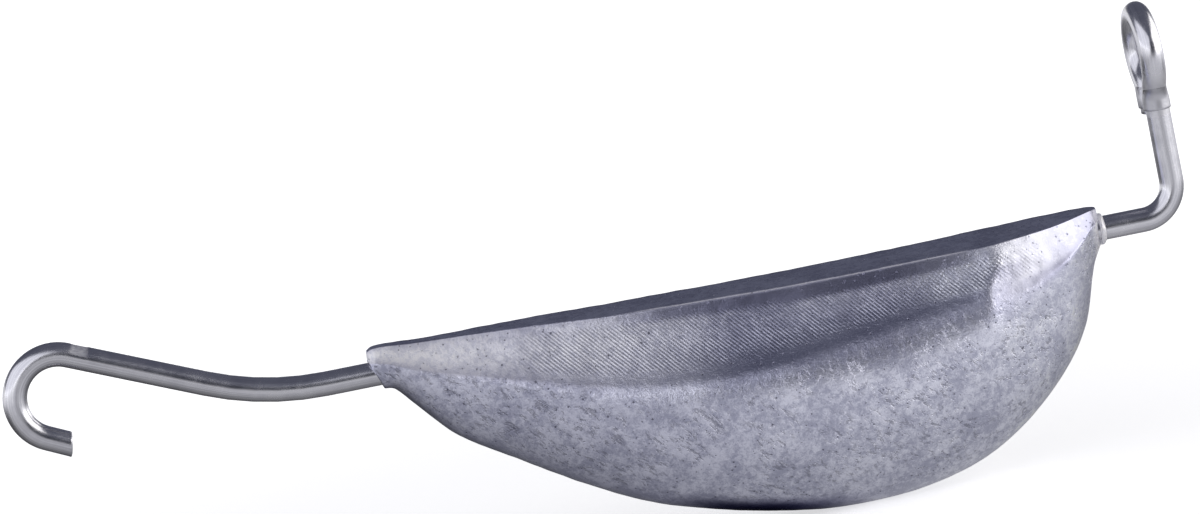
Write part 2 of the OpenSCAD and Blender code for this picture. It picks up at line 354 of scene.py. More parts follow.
casting = {
    "keelDepth": 15.1,
    "halfWidth": 5.5,
    "roofHalfWidth": 3.3,
    "roofDrop": 0.55,
    "scoopDepth": 5.4,
    "scoopHollow": 0.5,
    "deckRise": 0.35,
    "nibHalfWidth": 1,
    "nibDepth": 2.3,
    "noseHalfWidth": 1.05,
    "noseDepth": 2.35,
    "tailSlant": 22,
    "beakDepth": 0.5,
    "wireDepth": 1.37,
    "collarWidth": 1.8,
    "collarLength": 0.35,
    "collarShares": [[0.15, 1.06], [0.5, 1.07], [0.8, 1], [0.95, 0.93], [1, 0.86]],
    # the collar's first share is painted light; it is also pale with bloom and calm
    "collarPaintedLightAndBloom": (1.2, 1, 1),
    "tailInsets": ((0.07, 0.05), (0.06, -0.02), (0.1, -0.04)),  # width and rise of each
    "stations": 320,
    "endCrowding": 0.6,
    "steps": {"roof": 16, "scoop": 40, "crest": 10, "belly": 50},
    "seamHeight": 0.05,
    "wave": 0.035,
    "waveSize": 3.2,
    "lumpSize": 0.7,
    "lumpShare": 0.35,
    "deckShares": [[0, 0.35], [0.006, 0.85], [0.02, 1], [0.06, 0.68], [0.21, 0.44], [0.375, 0],
                   [0.57, -0.32], [0.775, -0.14], [0.89, 0.2], [0.985, 0.3], [1, 0.05]],
    "keelShares": [[0, 0], [0.015, 0.005], [0.03, 0.017], [0.05, 0.096], [0.1, 0.289], [0.17, 0.45],
                   [0.25, 0.63], [0.35, 0.807], [0.45, 0.911], [0.55, 0.983], [0.62, 1], [0.7, 0.985],
                   [0.79, 0.903], [0.86, 0.758], [0.92, 0.562], [0.96, 0.365], [0.985, 0.1], [1, 0]],
    "roofShares": [[0, 0], [0.1, 0.12], [0.2, 0.35], [0.32, 0.64], [0.45, 0.78], [0.6, 0.92],
                   [0.75, 0.98], [0.82, 1], [0.845, 0.965], [0.93, 0.62], [0.968, 0.32], [1, 0]],
    "edgeDepthShares": [[0, 0], [0.023, 0.04], [0.04, 0.105], [0.087, 0.27], [0.153, 0.45], [0.22, 0.63],
                        [0.3, 0.845], [0.38, 0.97], [0.46, 1], [0.56, 0.967], [0.7, 0.855], [0.8, 0.8],
                        [0.86, 0.76], [0.89, 0.66], [0.935, 0.43], [0.973, 0.18], [1, 0]],
    "edgeWidthShares": [[0, 0], [0.03, 0.05], [0.08, 0.12], [0.15, 0.28], [0.25, 0.54], [0.35, 0.77],
                        [0.45, 0.92], [0.55, 1], [0.65, 1], [0.75, 0.985], [0.81, 0.965], [0.836, 0.925],
                        [0.85, 0.86], [0.92, 0.54], [0.945, 0.42], [0.97, 0.23], [0.985, 0.09], [1, 0]],
    "hollowShares": [[0, 0.1], [0.1, 0.15], [0.25, 0.42], [0.4, 0.75], [0.55, 1], [0.68, 1], [0.76, 0.9],
                     [0.81, 0.6], [0.838, 0.12], [0.86, 0.06], [1, 0.06]],
    "bellyLean": 30,
    "leanShares": [[0, 0], [0.4, 0], [0.7, 0.3], [0.85, 1], [1, 1]],
    "crestShares": [[0, 0.04], [0.2, 0.08], [0.35, 0.14], [0.5, 0.17], [0.62, 0.25], [0.75, 0.34],
                    [0.85, 0.3], [0.92, 0.12], [1, 0.04]],
    # multipliers of the lead's colour along the length: partly its own tone, partly painted light and
    # shade; the keel's lowest values near its middle are a painted shadow
    "scoopShade": [[0, 1.15], [0.12, 1.05], [0.2, 0.97], [0.28, 1.08], [0.4, 1.03], [0.48, 0.74],
                   [0.58, 0.81], [0.7, 0.78], [0.77, 1.3], [0.82, 1.42], [0.86, 1.25], [0.9, 1.1],
                   [0.94, 0.86], [1, 0.68]],
    # pale bloom, partly painted light at the tail's scoop and on the nose facet
    "scoopBloomAndPaintedLight": [[0, 0.9], [0.1, 0.85], [0.2, 0.6], [0.3, 0.45], [0.42, 0.25], [0.5, 0],
                   [0.82, 0], [0.855, 0.16], [0.885, 0.18], [0.92, 0.08], [1, 0]],
    "bellyShade": [[0, 0.98], [0.2, 0.93], [0.4, 0.97], [0.5, 1.06], [0.65, 1.14], [0.8, 1.18],
                   [0.9, 1.32], [1, 1.3]],
    "keelShade": [[0, 0.8], [0.2, 0.85], [0.28, 0.8], [0.36, 0.6], [0.43, 0.2], [0.54, 0.22],
                  [0.64, 0.85], [0.8, 1.15], [1, 1.15]],
    "hatch": {"tail": (0.17, 0.24), "facet": (0.83, 0.86), "facetLoss": 0.88, "nose": (0.88, 0.92),
              "top": 0.08, "foot": (0.78, 0.95), "woven": (0.7, 0.74, 0.84, 0.86)},
    # the smooth band under the roof: fewer marks, painted shade, and a painted highlight line along the
    # roof's edge
    "band": {"span": (0.3, 0.42, 0.78, 0.83), "width": 0.1, "growth": 0.1, "grows": (0.35, 0.7),
             "foot": 0.12, "dark": 0.45, "calm": 0.7, "line": 0.03, "paintedLineHighlight": 0.3},
    # painted shade on the nose facet's corner and on the crest before it, then painted light in the
    # middle of the tail's scoop with painted shade at its edges
    "corner": {"span": (0.825, 0.845, 0.86, 0.895), "dark": 0.36, "height": (0.35, 0.6)},
    "dim": {"span": (0.7, 0.78, 0.92, 0.97), "dark": 0.3, "height": (0.8, 1)},
    "tailPaintedShading": {"end": (0.28, 0.42), "light": 0.35, "middle": 0.6},
    # the calm nose's lifted tone is painted light
    "calm": {"start": (0.82, 0.88), "level": 0.85},
    "lip": {"start": (0.984, 0.996), "level": 0.95},
    # the rows of the keel's painted shadow, and how calm that strip is
    "keelPaintedShadow": {"height": (0.58, 0.76), "calm": 0.35},
    "cornerSweep": {"at": 0.838, "width": 0.085, "back": 0.8, "nose": (0.9, 0.98),
                    "scoopRows": (0.35, 1), "bellyRows": (0, 0.45)},
    "noseTrim": 0.2,
    "trimStart": 0.9,
}
castLow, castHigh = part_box("cast_body")
castLength = (castHigh.x - castLow.x) / mm - casting["collarLength"]
tailPoint = Vector((castLow.x, (castLow.y + castHigh.y) / 2, castHigh.z - casting["deckRise"] * mm))
fromTail = Matrix.Translation(tailPoint) @ Matrix.Scale(mm, 4)


def sectionAt(t):
    # the corner points of one half section, and how it is hollowed and rounded
    c = casting
    toNose = t ** 8
    leastWidth = c["nibHalfWidth"] + (c["noseHalfWidth"] - c["nibHalfWidth"]) * toNose
    leastDepth = c["nibDepth"] + (c["noseDepth"] - c["nibDepth"]) * toNose
    deckZ = c["deckRise"] * along(c["deckShares"], t)
    roofW = max(0, along(c["roofShares"], t)) * (c["roofHalfWidth"] - leastWidth / 2) + leastWidth / 2
    roofZ = deckZ - c["roofDrop"] * roofW / c["roofHalfWidth"]
    edgeW = max(0, along(c["edgeWidthShares"], t)) * (c["halfWidth"] - leastWidth) + leastWidth
    edgeZ = -max(0, along(c["edgeDepthShares"], t)) * (c["scoopDepth"] - leastDepth / 4) - leastDepth / 4
    edgeZ = min(roofZ - leastDepth / 4, edgeZ)
    keelZ = -max(0, along(c["keelShares"], t)) * (c["keelDepth"] - leastDepth) - leastDepth
    hollow = c["scoopHollow"] * max(0, along(c["hollowShares"], t))
    soft = max(0, along(c["crestShares"], t))
    fromEnd = min(t, 1 - t) * castLength
    rounding = 0.6 + 0.4 * math.sin(math.pi / 2 * min(fromEnd / 0.45, 1))
    lean = math.radians(c["bellyLean"] * max(0, along(c["leanShares"], t)))
    return {"ridge": deckZ, "roof": (roofW * rounding, roofZ), "edge": (edgeW * rounding, edgeZ),
            "keel": keelZ, "hollow": hollow, "soft": soft, "lean": lean}


def wearAndPaintedShadingAt(t):
    # what the lead carries at one station besides its shape: its tone with painted light and shade, pale
    # bloom that is partly painted light, the smooth band under the roof with its painted shade, the calm
    # nose and its pale lip, painted shade on the nose facet's corner and on the crest, and painted light
    # that lightens the middle of the scoop near the tail and shades its edges
    c = casting
    band, corner, dim, tailPaintedShading = c["band"], c["corner"], c["dim"], c["tailPaintedShading"]
    return {"shade": along(c["scoopShade"], t), "bloomAndPaintedLight": max(0, along(c["scoopBloomAndPaintedLight"], t)),
            "bellyShade": along(c["bellyShade"], t), "keelShade": along(c["keelShade"], t),
            "banded": within(band["span"], t),
            "bandEnd": band["width"] + band["growth"] * ease(*band["grows"], t),
            "calm": c["calm"]["level"] * ease(*c["calm"]["start"], t),
            "lip": c["lip"]["level"] * ease(*c["lip"]["start"], t),
            "corner": corner["dark"] * within(corner["span"], t),
            "dim": dim["dark"] * within(dim["span"], t),
            "tailPaintedShading": tailPaintedShading["light"] * (1 - ease(*tailPaintedShading["end"], t))}


def scoopPoint(s, u):
    (rw, rz), (ew, ez) = s["roof"], s["edge"]
    flank = math.hypot(ew - rw, rz - ez)
    inward = 4 * s["hollow"] * u * (1 - u)
    return (rw + (ew - rw) * u - inward * (rz - ez) / flank,
            rz + (ez - rz) * u - inward * (ew - rw) / flank)


def bellyPoint(s, angle):
    # a quarter of an ellipse, without its steepest part where the belly leans in under the crest
    ew, ez = s["edge"]
    start = s["lean"]
    angle = start + (math.pi / 2 - start) * angle / (math.pi / 2)
    fallen = (math.sin(angle) - math.sin(start)) / (1 - math.sin(start))
    return (ew * math.cos(angle) / math.cos(start), ez + (s["keel"] - ez) * fallen)


def flankPoint(s, row):
    # a point of the half section, by its row from the ridge down to the keel, with its masks:
    # hatch, belly, and a vector of tone with painted light and shade, bloom that is partly painted
    # light, and calm
    c = casting
    steps, hatch, underRoof, tailPaintedShading = c["steps"], c["hatch"], c["band"], c["tailPaintedShading"]
    scoopEnd = 1 - s["soft"]
    bellyStart = math.pi / 4 * s["soft"]
    if row <= steps["roof"]:
        u = row / steps["roof"]
        point = (s["roof"][0] * u, s["ridge"] + (s["roof"][1] - s["ridge"]) * u)
        # the roof's lowest rows carry the painted highlight line along its edge
        return point, 0, 0, (1, s["banded"] * ease(0.93, 1, u), 0)
    row -= steps["roof"]
    if row <= steps["scoop"]:
        u = row / steps["scoop"]
        hatched = ease(s["bandEnd"], s["bandEnd"] + hatch["top"], u) * (1 - ease(*hatch["foot"], u))
        # the band under the roof: painted shade, and a painted highlight line at the roof's edge
        band = s["banded"] * (1 - ease(s["bandEnd"], s["bandEnd"] + underRoof["foot"], u))
        line = s["banded"] * (1 - ease(0, underRoof["line"], u))
        shade = s["shade"] * (1 - underRoof["dark"] * band * (1 - line))
        shade += underRoof["paintedLineHighlight"] * line
        # painted shade on the facet's corner and the crest, painted light in the middle of the tail's
        # scoop
        cornered = s["corner"] * ease(*c["corner"]["height"], u)
        shade *= 1 - max(cornered, s["dim"] * ease(*c["dim"]["height"], u))
        shade *= 1 + s["tailPaintedShading"] * (math.sin(math.pi * u) - tailPaintedShading["middle"])
        bloomAndPaintedLight = s["bloomAndPaintedLight"] * (1 - band) + line
        localLook = (shade, bloomAndPaintedLight + s["lip"], max(s["calm"], underRoof["calm"] * band))
        return scoopPoint(s, scoopEnd * u), hatched, 0, localLook
    row -= steps["scoop"]
    if row <= steps["crest"]:
        u = row / steps["crest"]
        above, corner, below = scoopPoint(s, scoopEnd), s["edge"], bellyPoint(s, bellyStart)
        point = [above[k] * (1 - u) ** 2 + corner[k] * 2 * u * (1 - u) + below[k] * u ** 2
                 for k in (0, 1)]
        # the crest keeps that painted shade and blends into the belly's painted light and shade
        dimmed = s["shade"] * (1 - max(s["corner"], s["dim"])) * (1 - tailPaintedShading["middle"] * s["tailPaintedShading"])
        shade = dimmed + (s["bellyShade"] - dimmed) * ease(0.2, 1, u)
        return point, 0, u, (shade, s["bloomAndPaintedLight"] * (1 - u) + s["lip"], s["calm"] * (1 - u))
    row -= steps["crest"]
    u = row / steps["belly"]
    # painted shadow along the keel
    keel = ease(*c["keelPaintedShadow"]["height"], u)
    shade = s["bellyShade"] * (1 + (s["keelShade"] - 1) * keel)
    point = bellyPoint(s, bellyStart + (math.pi / 2 - bellyStart) * u)
    return point, 0, 1 - keel, (shade, s["lip"], c["keelPaintedShadow"]["calm"] * keel)


def sweepShare(row):
    # how far a row joins in the corner's sweep back: none at the roof, all at the crest, then less
    steps, sweep = casting["steps"], casting["cornerSweep"]
    scoopRow = (row - steps["roof"]) / steps["scoop"]
    bellyRow = (row - steps["roof"] - steps["scoop"] - steps["crest"]) / steps["belly"]
    return ease(*sweep["scoopRows"], scoopRow) * (1 - ease(*sweep["bellyRows"], bellyRow))


def buildCasting(material):
    c = casting
    sweep, hatch = c["cornerSweep"], c["hatch"]
    around = sum(c["steps"].values())
    bm = bmesh.new()
    bmesh.ops.create_grid(bm, x_segments=c["stations"], y_segments=around, size=0.5)
    masks = bm.verts.layers.float_vector.new("flank")
    wearAndPaintedShading = bm.verts.layers.float_vector.new("wearAndPaintedShading")
    sections = []
    for i in range(c["stations"] + 1):
        u = i / c["stations"]
        t = u - c["endCrowding"] * math.sin(2 * math.pi * u) / (2 * math.pi)
        sections.append((t, {**sectionAt(t), **wearAndPaintedShadingAt(t)}))
    for v in bm.verts:
        t, s = sections[round((v.co.x + 0.5) * c["stations"])]
        row = round((v.co.y + 0.5) * around)
        point, hatched, belly, localLook = flankPoint(s, row)
        x = t * castLength - c["noseTrim"] * ease(c["trimStart"], 1, t)
        near = math.exp(-((t - sweep["at"]) / sweep["width"]) ** 2)
        x -= sweep["back"] * sweepShare(row) * near * (1 - ease(*sweep["nose"], t))
        v.co = (x, point[0], point[1])
        onFacet = 1 - hatch["facetLoss"] * ease(*hatch["facet"], t)
        hatched *= ease(*hatch["tail"], t) * onFacet * (1 - ease(*hatch["nose"], t))
        v[masks] = (hatched, within(hatch["woven"], t), belly)
        v[wearAndPaintedShading] = localLook
    bmesh.ops.mirror(bm, geom=bm.verts[:] + bm.edges[:] + bm.faces[:], axis="Y", merge_dist=0.002)
    closeTail(bm)
    drawCollar(bm, wearAndPaintedShading)
    bmesh.ops.recalc_face_normals(bm, faces=bm.faces)
    roughen(bm)
    finishPiece(bm, "lead_casting", fromTail, "cast_body", material)


def openRing(bm, x):
    return [e for e in bm.edges if e.is_boundary and all(abs(v.co.x - x) < 0.001 for v in e.verts)]


def freshEdges(made, fresh):
    # the new ring's own edges, out of what an extrusion made
    return [g for g in made if isinstance(g, bmesh.types.BMEdge) and all(v in fresh for v in g.verts)]


def closeTail(bm):
    # the nib's end face, then the slanted cut below the beak
    bmesh.ops.contextual_create(bm, geom=openRing(bm, 0))
    slant = math.radians(casting["tailSlant"])
    cut = bmesh.ops.bisect_plane(bm, geom=bm.verts[:] + bm.edges[:] + bm.faces[:], dist=0.0001,
                                 plane_co=(0, 0, -casting["beakDepth"]),
                                 plane_no=(-math.cos(slant), 0, -math.sin(slant)), clear_outer=True)
    rim = [g for g in cut["geom_cut"] if isinstance(g, bmesh.types.BMEdge)]
    face = bmesh.ops.contextual_create(bm, geom=rim)["faces"]
    for width, rise in casting["tailInsets"]:
        bmesh.ops.inset_region(bm, faces=face, thickness=width, depth=rise, use_even_offset=False,
                               use_boundary=True)
    near = [v for v in bm.verts if v.co.x < 1.1]
    for turn in range(2):
        bmesh.ops.smooth_vert(bm, verts=near, factor=0.35, use_axis_x=True, use_axis_y=True,
                              use_axis_z=True)


def drawCollar(bm, wearAndPaintedShading):
    # the last ring is drawn in to a thin collar round the wire
    end = castLength - casting["noseTrim"]
    ring = openRing(bm, end)
    for share, size in casting["collarShares"]:
        out = share * casting["collarLength"]
        made = bmesh.ops.extrude_edge_only(bm, edges=ring)["geom"]
        fresh = set(g for g in made if isinstance(g, bmesh.types.BMVert))
        for v in fresh:
            angle = math.atan2(v.co.z + casting["wireDepth"], v.co.y)
            r = size * casting["collarWidth"] / 2 * (1 + 0.04 * math.sin(3 * angle + 9 * out))
            v.co = (end + out, r * math.cos(angle), r * math.sin(angle) - casting["wireDepth"])
            # painted light and pale bloom on the collar
            v[wearAndPaintedShading] = casting["collarPaintedLightAndBloom"]
        ring = freshEdges(made, fresh)
    bmesh.ops.contextual_create(bm, geom=ring)


def roughen(bm):
    # the casting's own unevenness: soft waves, small lumps, and the mould's seam along ridge and keel
    c = casting
    moves = []
    for v in bm.verts:
        x, y, z = v.co
        push = c["wave"] * wander((x, y, z), c["waveSize"])
        push += c["lumpShare"] * c["wave"] * wander((x, y, z), c["lumpSize"], 1)
        if abs(y) < 1e-4 and 0.3 < x < castLength - 0.3:
            push += c["seamHeight"] * (0.6 + 0.4 * wander((x, 0, z), 0.8, 2))
        push *= 0.3 + 0.7 * ease(0, 2, min(x, castLength - x))
        moves.append(v.normal * push)
    for v, move in zip(bm.verts, moves):
        v.co += move


# The wire: rows of a bending chart, each with its roll, straight, angle of bend and radius

wire = {
    "width": 1.5,
    "around": 36,
    "stride": 0.25,
    "turnStep": 5,
    "tailRun": 2.75,
    "armRise": 23,
    "armSweep": 18.3,
    "armLength": 8.57,
    "hookRadius": 2.58,
    "hookTurn": 177.4,
    "hookTip": 1.57,
    "noseRun": 2.72,
    "stemBend": 2.07,
    "stemLean": 1.2,
    "eyeRadius": 2.35,
    "eyeHeight": 8.73,
    "eyeOffset": 0.98,
    "partingRadius": 1.6,
    "tailEnd": 0.6,
    "lapGap": 0.05,
    "joint": 0.3,
    "kinkAngle": 30,
    "kinkSide": 2.4,
    "kinkRadius": 2,
    "cutSlant": 14,
    "nick": {"at": 18.1, "length": 0.6, "depth": 0.03},
    "tinned": {"below": 1.5, "side": 1, "full": 0.5, "end": 2.4, "level": 0.85},
}


def partingAngle(offset):
    reach = wire["eyeRadius"] + wire["partingRadius"]
    tilt = math.acos(offset / math.hypot(reach, wire["joint"]))
    return math.degrees(tilt - math.atan2(wire["joint"], reach))


def stemReach():
    # from the end of the stem's bend to the eye's middle, along the stem
    lean = math.radians(wire["stemLean"])
    level = wire["eyeHeight"] + casting["wireDepth"] - wire["stemBend"] * (1 + math.sin(lean))
    return level / math.cos(lean)


def eyeMiddle():
    lean = math.radians(wire["stemLean"])
    foot = castLength + wire["noseRun"] + wire["stemBend"] * math.cos(lean)
    return foot - stemReach() * math.sin(lean)


def noseChart():
    w = wire
    front = partingAngle(w["eyeOffset"] + w["partingRadius"])
    back = partingAngle(w["width"] + w["lapGap"] - w["eyeOffset"] + w["partingRadius"])
    rise = (w["eyeRadius"] + w["partingRadius"]) * math.sin(math.radians(front))
    rise += w["joint"] * math.cos(math.radians(front))
    stem = stemReach() - rise
    kink = math.radians(w["kinkAngle"])
    kinkLength = 4 * w["kinkRadius"] * math.sin(kink) + 2 * w["kinkSide"] * math.cos(kink)
    run = (castLength - kinkLength) / 2
    return [
        (0, run, -w["kinkAngle"], w["kinkRadius"]),
        (0, w["kinkSide"], 2 * w["kinkAngle"], w["kinkRadius"]),
        (0, w["kinkSide"], -w["kinkAngle"], w["kinkRadius"]),
        (0, run + w["noseRun"], 90 + w["stemLean"], w["stemBend"]),
        (90, stem, front, w["partingRadius"]),
        (0, w["joint"], -(180 + front + back), w["eyeRadius"]),
        (0, w["joint"], back, w["partingRadius"]),
        (0, w["tailEnd"], 0, 0),
    ]


def tailChart():
    w = wire
    return [
        (0, w["tailRun"], w["armRise"], w["armSweep"]),
        (0, w["armLength"], -w["hookTurn"], w["hookRadius"]),
        (0, w["hookTip"], 0, 0),
    ]


def drawOut(bm, ring, way, move, travel):
    # one more stride of wire: the ring is extruded, moved, and its way along the wire written down
    made = bmesh.ops.extrude_edge_only(bm, edges=ring)["geom"]
    fresh = set(g for g in made if isinstance(g, bmesh.types.BMVert))
    bmesh.ops.transform(bm, matrix=move, verts=list(fresh))
    for v in fresh:
        v[way].x += travel * mm
    return freshEdges(made, fresh)


def bendByChart(bm, ring, way, pose, chart, side):
    # side is 1 from the casting's middle to the eye and -1 to the hook
    for roll, straight, angle, radius in chart:
        pose = pose @ Matrix.Rotation(math.radians(roll), 4, "X")
        count = max(1, math.ceil(straight / wire["stride"]))
        step = Matrix.Translation(pose.col[0].to_3d() * straight / count)
        for k in range(count):
            ring = drawOut(bm, ring, way, step, side * straight / count)
            pose = step @ pose
        if angle:
            centre = pose.translation + pose.col[2].to_3d() * math.copysign(radius, angle)
            count = math.ceil(abs(angle) / wire["turnStep"])
            turn = Matrix.Rotation(math.radians(-angle / count), 4, pose.col[1].to_3d())
            step = Matrix.Translation(centre) @ turn @ Matrix.Translation(-centre)
            for k in range(count):
                ring = drawOut(bm, ring, way, step, side * math.radians(abs(angle) / count) * radius)
                pose = step @ pose
    return ring, pose


def startRing(bm, way, pose, radius):
    flat = Matrix.Rotation(math.radians(90), 4, "Y")
    made = bmesh.ops.create_circle(bm, segments=wire["around"], radius=radius,
                                   matrix=pose @ flat)["verts"]
    upright = pose.inverted()
    for v in made:
        local = upright @ v.co
        v[way] = Vector((0, local.y, local.z)) * mm
    return list({e for v in made for e in v.link_edges})


def capEnd(bm, ring, pose, bevel, slant=0):
    face = bmesh.ops.contextual_create(bm, geom=ring)["faces"]
    if slant:
        for v in face[0].verts:
            height = (v.co - pose.translation).dot(pose.col[2].to_3d())
            v.co += pose.col[0].to_3d() * height * math.tan(math.radians(slant))
    bmesh.ops.bevel(bm, geom=list(face[0].edges), offset=bevel, segments=2, profile=0.5, affect="EDGES",
                    material=-1)


def wearWire(bm, way):
    # a nick on the hook's top, and solder run thinly up the near strand of the eye
    n, tinned = wire["nick"], wire["tinned"]
    scuff = bm.verts.layers.float.new("scuff")
    crotch = wire["eyeHeight"] - wire["eyeRadius"]
    bm.normal_update()
    for v in bm.verts:
        off = abs(v[way].x / mm + n["at"]) / n["length"]
        height = v[way].z / mm / (wire["width"] / 2)
        nicked = (1 - ease(0.7, 1, off)) * ease(0.25, 0.4, height)
        if v[way].y < 0:
            v[scuff] = nicked
        v.co -= v.normal * n["depth"] * nicked
        if v.co.x > castLength and v.co.z > crotch - tinned["below"] and v.co.y < tinned["side"]:
            faded = ease(crotch + tinned["full"], crotch + tinned["end"], v.co.z)
            v[scuff] = tinned["level"] * (1 - faded)


def buildWire(material):
    bm = bmesh.new()
    way = bm.verts.layers.float_vector.new("straightWire")
    start = Matrix.Translation((0, 0, -casting["wireDepth"]))
    toNose = startRing(bm, way, start, wire["width"] / 2)
    back = start @ Matrix.Rotation(math.pi, 4, "Z")
    ring, pose = bendByChart(bm, toNose, way, start, noseChart(), 1)
    capEnd(bm, ring, pose, 0.08)
    toTail = [e for e in toNose if e.is_valid]
    ring, pose = bendByChart(bm, toTail, way, back, tailChart(), -1)
    capEnd(bm, ring, pose, 0.06, wire["cutSlant"])
    wearWire(bm, way)
    finishPiece(bm, "through_wire_drawn", fromTail, "through_wire", material)


# The solder: a sleeve on each strand and a bridge between them, melted together

joint = {
    "length": 1.95,
    "skin": 0.1,
    "above": 0.05,
    "sink": 0.05,
    "thinning": 0.75,
    "voxel": 0.055,
    "melt": 6,
    "bridge": (0.42, 0.75, 0.95),
}


def buildSolder(material):
    w, j = wire, joint
    bm = bmesh.new()
    way = bm.verts.layers.float_vector.new("straightWire")
    start = Matrix.Translation((0, 0, -casting["wireDepth"]))
    ring = startRing(bm, way, start, w["width"] / 2 + j["skin"])
    bendByChart(bm, ring, way, start, noseChart(), 1)
    bmesh.ops.recalc_face_normals(bm, faces=bm.faces)
    crotch = w["eyeHeight"] - w["eyeRadius"] + w["width"] / 2
    bottom = crotch - j["length"]
    everything = bm.verts[:] + bm.edges[:] + bm.faces[:]
    bmesh.ops.bisect_plane(bm, geom=everything, dist=0.0001, plane_co=(0, 0, crotch + j["above"]),
                           plane_no=(0, 0, 1), clear_outer=True)
    everything = bm.verts[:] + bm.edges[:] + bm.faces[:]
    bmesh.ops.bisect_plane(bm, geom=everything, dist=0.0001, plane_co=(0, 0, bottom),
                           plane_no=(0, 0, -1), clear_outer=True)
    bm.normal_update()
    for v in bm.verts:
        upper = ease(crotch - j["thinning"] * j["length"], crotch, v.co.z)
        v.co -= v.normal * (j["skin"] + j["sink"]) * upper
    bmesh.ops.holes_fill(bm, edges=[e for e in bm.edges if e.is_boundary], sides=0)
    lap = w["width"] + w["lapGap"]
    between = Matrix.Translation((eyeMiddle(), lap / 2, (crotch + bottom) / 2))
    bridge = between @ Matrix.Diagonal((*j["bridge"], 1))
    bmesh.ops.create_icosphere(bm, subdivisions=3, radius=1, matrix=bridge)
    piece = finishPiece(bm, "eye_solder_melt", fromTail, "eye_solder", material)
    remesh = piece.modifiers.new("melt", "REMESH")
    remesh.mode = "VOXEL"
    remesh.voxel_size = j["voxel"] * mm
    remesh.use_smooth_shade = True
    soften = piece.modifiers.new("soften", "SMOOTH")
    soften.factor = 0.5
    soften.iterations = j["melt"]


buildCasting(makeLead())
buildWire(makeWire())
buildSolder(makeSolder())


# Studio: pale floor, dim canopy over a white horizon, a soft lamp on each side, dark card in front

studio = {
    "floorSize": 6,
    "floorTone": 0.8,
    "floorGlow": {"near": 0.6, "far": 1, "start": 0.03, "end": 0.16},
    # level of the floor's painted glow to mirror rays: brighter in front than behind, brighter to the
    # right, a darker wedge in front far off, and a painted shadow under the keel
    "mirrored": {"front": 0.57, "back": 0.1, "rightMore": 0.2, "start": 0.06, "end": 0.22,
                 "deep": (-0.022, 0.014), "across": (-0.035, 0.03),
                 "wedgeTurn": 8, "wedge": 0.3, "wedgeSpan": (0.9, 0.985), "tint": (0.965, 0.965, 1, 1)},
    "paintedContactShadow": {"right": 0.0065, "squash": 0.4, "start": 0.0006, "end": 0.0027, "level": 0.5},
    "canopyRadius": 1.1,
    "canopyRim": 10,
    "canopyGlow": (0.1, 0.105, 0.14, 1),
    "cardTone": (0.11, 0.115, 0.145, 1),
    "worldLight": 0.5,
    "lamps": {
        "right": {"azimuth": 79, "elevation": 20, "width": 0.84, "height": 0.42, "radiance": 1.85,
                  "tint": (1, 0.975, 0.93)},
        "left": {"azimuth": -58, "elevation": 31, "width": 1.2, "height": 0.46, "radiance": 1.02,
                 "tint": (0.97, 0.97, 1)},
    },
    "lampDistance": 0.5,
    "card": {"azimuth": 14, "elevation": 12, "width": 0.85, "height": 0.42, "distance": 0.88},
}
middle = (cadBox[0] + cadBox[1]) / 2


def towards(azimuth, elevation):
    # azimuth 0 is on the -Y side and grows towards +X
    a, e = math.radians(azimuth), math.radians(elevation)
    return Vector((math.sin(a) * math.cos(e), -math.cos(a) * math.cos(e), math.sin(e)))


def facing(place):
    return (middle - place).to_track_quat("-Z", "Y").to_matrix().to_4x4()


